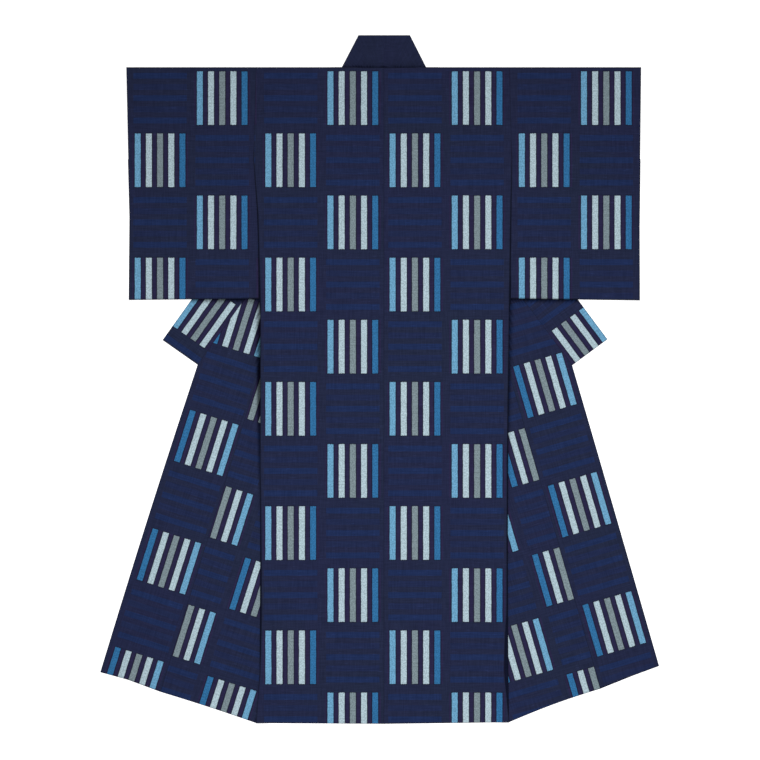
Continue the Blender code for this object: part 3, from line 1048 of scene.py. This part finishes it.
class KimonoDyes(bpy.types.PropertyGroup):
    """Colours of the yarn and sizes of the woven blocks."""

    ground: a_colour("Ground", (0.0085, 0.0112, 0.0390, 1), "Deep indigo ground")
    ground_cast: a_colour("Ground Cast", (0.0082, 0.0124, 0.0350, 1), "Where the ground is duller")
    ground_warm: a_colour("Ground Warm", (0.0125, 0.0105, 0.0400, 1), "Ground between the bars")
    white: a_colour("White", (0.330, 0.430, 0.475, 1), "Undyed yarn")
    grey: a_colour("Grey", (0.155, 0.202, 0.220, 1), "Grey yarn")
    sky: a_colour("Sky", (0.112, 0.280, 0.430, 1), "Sky blue yarn")
    azure: a_colour("Azure", (0.0200, 0.117, 0.262, 1), "Azure yarn")
    deep: a_colour("Deep Blue", (0.0060, 0.0150, 0.0590, 1), "Deep blue yarn of the level bars")
    dim: a_colour("Dim Blue", (0.0072, 0.0127, 0.0465, 1), "Dimmest yarn of the level bars")
    halo_shade: a_share("Halo Shade", 0.45, "Ground colour left beside a bar")
    gloss: a_share("Gloss", 0.10, "Gloss of the silk")
    block: a_length("Block", 0.155, "Side of one block, half a panel's width")
    thread: a_length("Thread", 0.0011, "Two threads of the weave")
    bars: IntProperty(name="Bars", default=5, min=1, max=12, description="Bars in a block")
    bar_share: a_share("Bar Share", 0.52, "Share of a beat that its bar fills")
    # Painted shade along the edges and seams: the share of colour left there.
    edge_shade: a_share("Edge Shade", 0.50, "Colour left at a pressed edge")
    sheen: a_share("Sheen", 0.03, "Sheen of the silk")


class KimonoStudio(bpy.types.PropertyGroup):
    """Camera and light above the garment."""

    camera_height: a_length("Camera Height", 4.480, "Height of the camera above the floor")
    lens: an_amount("Lens", 85, "Focal length", unit="CAMERA")
    sun: an_amount("Key Light", 1.63, "Strength of the key light")
    lamp: an_amount("Lamp", 700, "Power of the lamp over the skirt", unit="POWER")
    sky: an_amount("Fill", 0.52, "Strength of the light all round")
    glow: an_amount("Floor Glow", 0.26, "Light from the floor")
    floor: a_colour("Floor", (0.93, 0.93, 0.93, 1), "Colour of the floor")


def dress(piece, nodes):
    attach(piece, "root")
    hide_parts(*nodes)


def side_panels(kind, make_patches, offset):
    """Each side's panel of a kind, sewn from its patches in silk of its own and dressed."""
    sizes = bpy.context.scene.kimono_sizes
    for side in SIDES:
        name = f"{kind}_{side['name']}"
        silk = woven_silk(f"{name} silk", side["phase"] + offset)
        piece = sewn(f"{name}_cloth", make_patches(side, sizes), silk, sizes)
        dress(piece, [name])
        yield piece


class KimonoBody(bpy.types.Operator):
    """Makes both halves of the body, each from hem over the shoulder to the turned-out front"""

    bl_idname = "kimono.body"
    bl_label = "Body Halves"

    def execute(self, context):
        for piece in side_panels("body", body_patches, 0):
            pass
        return {"FINISHED"}


class KimonoOverlaps(bpy.types.Operator):
    """Makes the two narrow panels on the edges of the fronts"""

    bl_idname = "kimono.overlaps"
    bl_label = "Overlaps"

    def execute(self, context):
        for piece in side_panels("overlap", overlap_patches, 1):
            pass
        return {"FINISHED"}


class KimonoSleeves(bpy.types.Operator):
    """Makes the two bag sleeves, folded along the shoulder"""

    bl_idname = "kimono.sleeves"
    bl_label = "Sleeves"

    def execute(self, context):
        for piece in side_panels("sleeve", sleeve_patches, 2):
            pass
        return {"FINISHED"}


class KimonoCollar(bpy.types.Operator):
    """Makes the collar band from tip to tip"""

    bl_idname = "kimono.collar"
    bl_label = "Collar"

    def execute(self, context):
        sizes = context.scene.kimono_sizes
        piece = sewn("collar_cloth", collar_patches(sizes), woven_silk("collar silk", 5.0), sizes)
        dress(piece, ["collar"])
        return {"FINISHED"}


class KimonoStage(bpy.types.Operator):
    """Makes the floor, the light and the camera"""

    bl_idname = "kimono.stage"
    bl_label = "Stage"

    def execute(self, context):
        scene, studio = context.scene, context.scene.kimono_studio
        mesh = bpy.data.meshes.new("floor")
        half = FLOOR_HALF
        corners = [(-half, -half, 0), (half, -half, 0), (half, half, 0), (-half, half, 0)]
        mesh.from_pydata(corners, [], [(0, 1, 2, 3)])
        mesh.materials.append(stage_material("pale paper", studio.floor, studio.glow))
        placed(mesh)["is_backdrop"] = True

        sun = bpy.data.lights.new("soft key", "SUN")
        sun.energy = studio.sun
        sun.angle = math.radians(KEY_SOFTNESS)
        placed(sun).rotation_euler = [math.radians(angle) for angle in KEY_TILT]

        spot = bpy.data.lights.new("lamp over the skirt", "SPOT")
        spot.energy = studio.lamp
        spot.spot_size = math.radians(LAMP_CONE)
        spot.spot_blend = 1
        spot.shadow_soft_size = LAMP_RADIUS
        placed(spot).location = LAMP_PLACE

        scene.world = bpy.data.worlds.new("studio")
        scene.world.use_nodes = True
        background = scene.world.node_tree.nodes["Background"]
        background.inputs["Color"].default_value = SKY_COLOUR
        background.inputs["Strength"].default_value = studio.sky

        lens = bpy.data.cameras.new("camera")
        lens.lens = studio.lens
        scene.camera = placed(lens)
        scene.camera.location = (*CAMERA_PLACE, studio.camera_height)
        scene.view_settings.view_transform = "Standard"
        return {"FINISHED"}


class KimonoPanel(bpy.types.Panel):
    """Lists the garment's pieces, sizes and dyes"""

    bl_idname = "VIEW3D_PT_kimono"
    bl_label = "Kimono"
    bl_space_type = "VIEW_3D"
    bl_region_type = "UI"
    bl_category = "Kimono"

    def draw(self, context):
        layout = self.layout
        for label in GROUPS:
            group = getattr(context.scene, label)
            box = layout.box()
            for name in group.__annotations__:
                box.prop(group, name)
        for operator in OPERATORS:
            layout.operator(operator.bl_idname)


GROUPS = {"kimono_sizes": KimonoSizes, "kimono_dyes": KimonoDyes, "kimono_studio": KimonoStudio}
OPERATORS = (KimonoStage, KimonoCollar, KimonoOverlaps, KimonoBody, KimonoSleeves)
CLASSES = (*GROUPS.values(), *OPERATORS, KimonoPanel)


def register():
    for cls in CLASSES:
        bpy.utils.register_class(cls)
    for name, group in GROUPS.items():
        setattr(bpy.types.Scene, name, bpy.props.PointerProperty(type=group))


def unregister():
    for name in GROUPS:
        delattr(bpy.types.Scene, name)
    for cls in reversed(CLASSES):
        bpy.utils.unregister_class(cls)


def main():
    register()
    bpy.ops.kimono.stage()
    bpy.ops.kimono.collar()
    bpy.ops.kimono.overlaps()
    bpy.ops.kimono.body()
    bpy.ops.kimono.sleeves()
    boxes = {"cad": CAD_BOX, "visual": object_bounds()}
    {name: [list(corner) for corner in box] for name, box in boxes.items()}


if __name__ == "__main__":
    main()
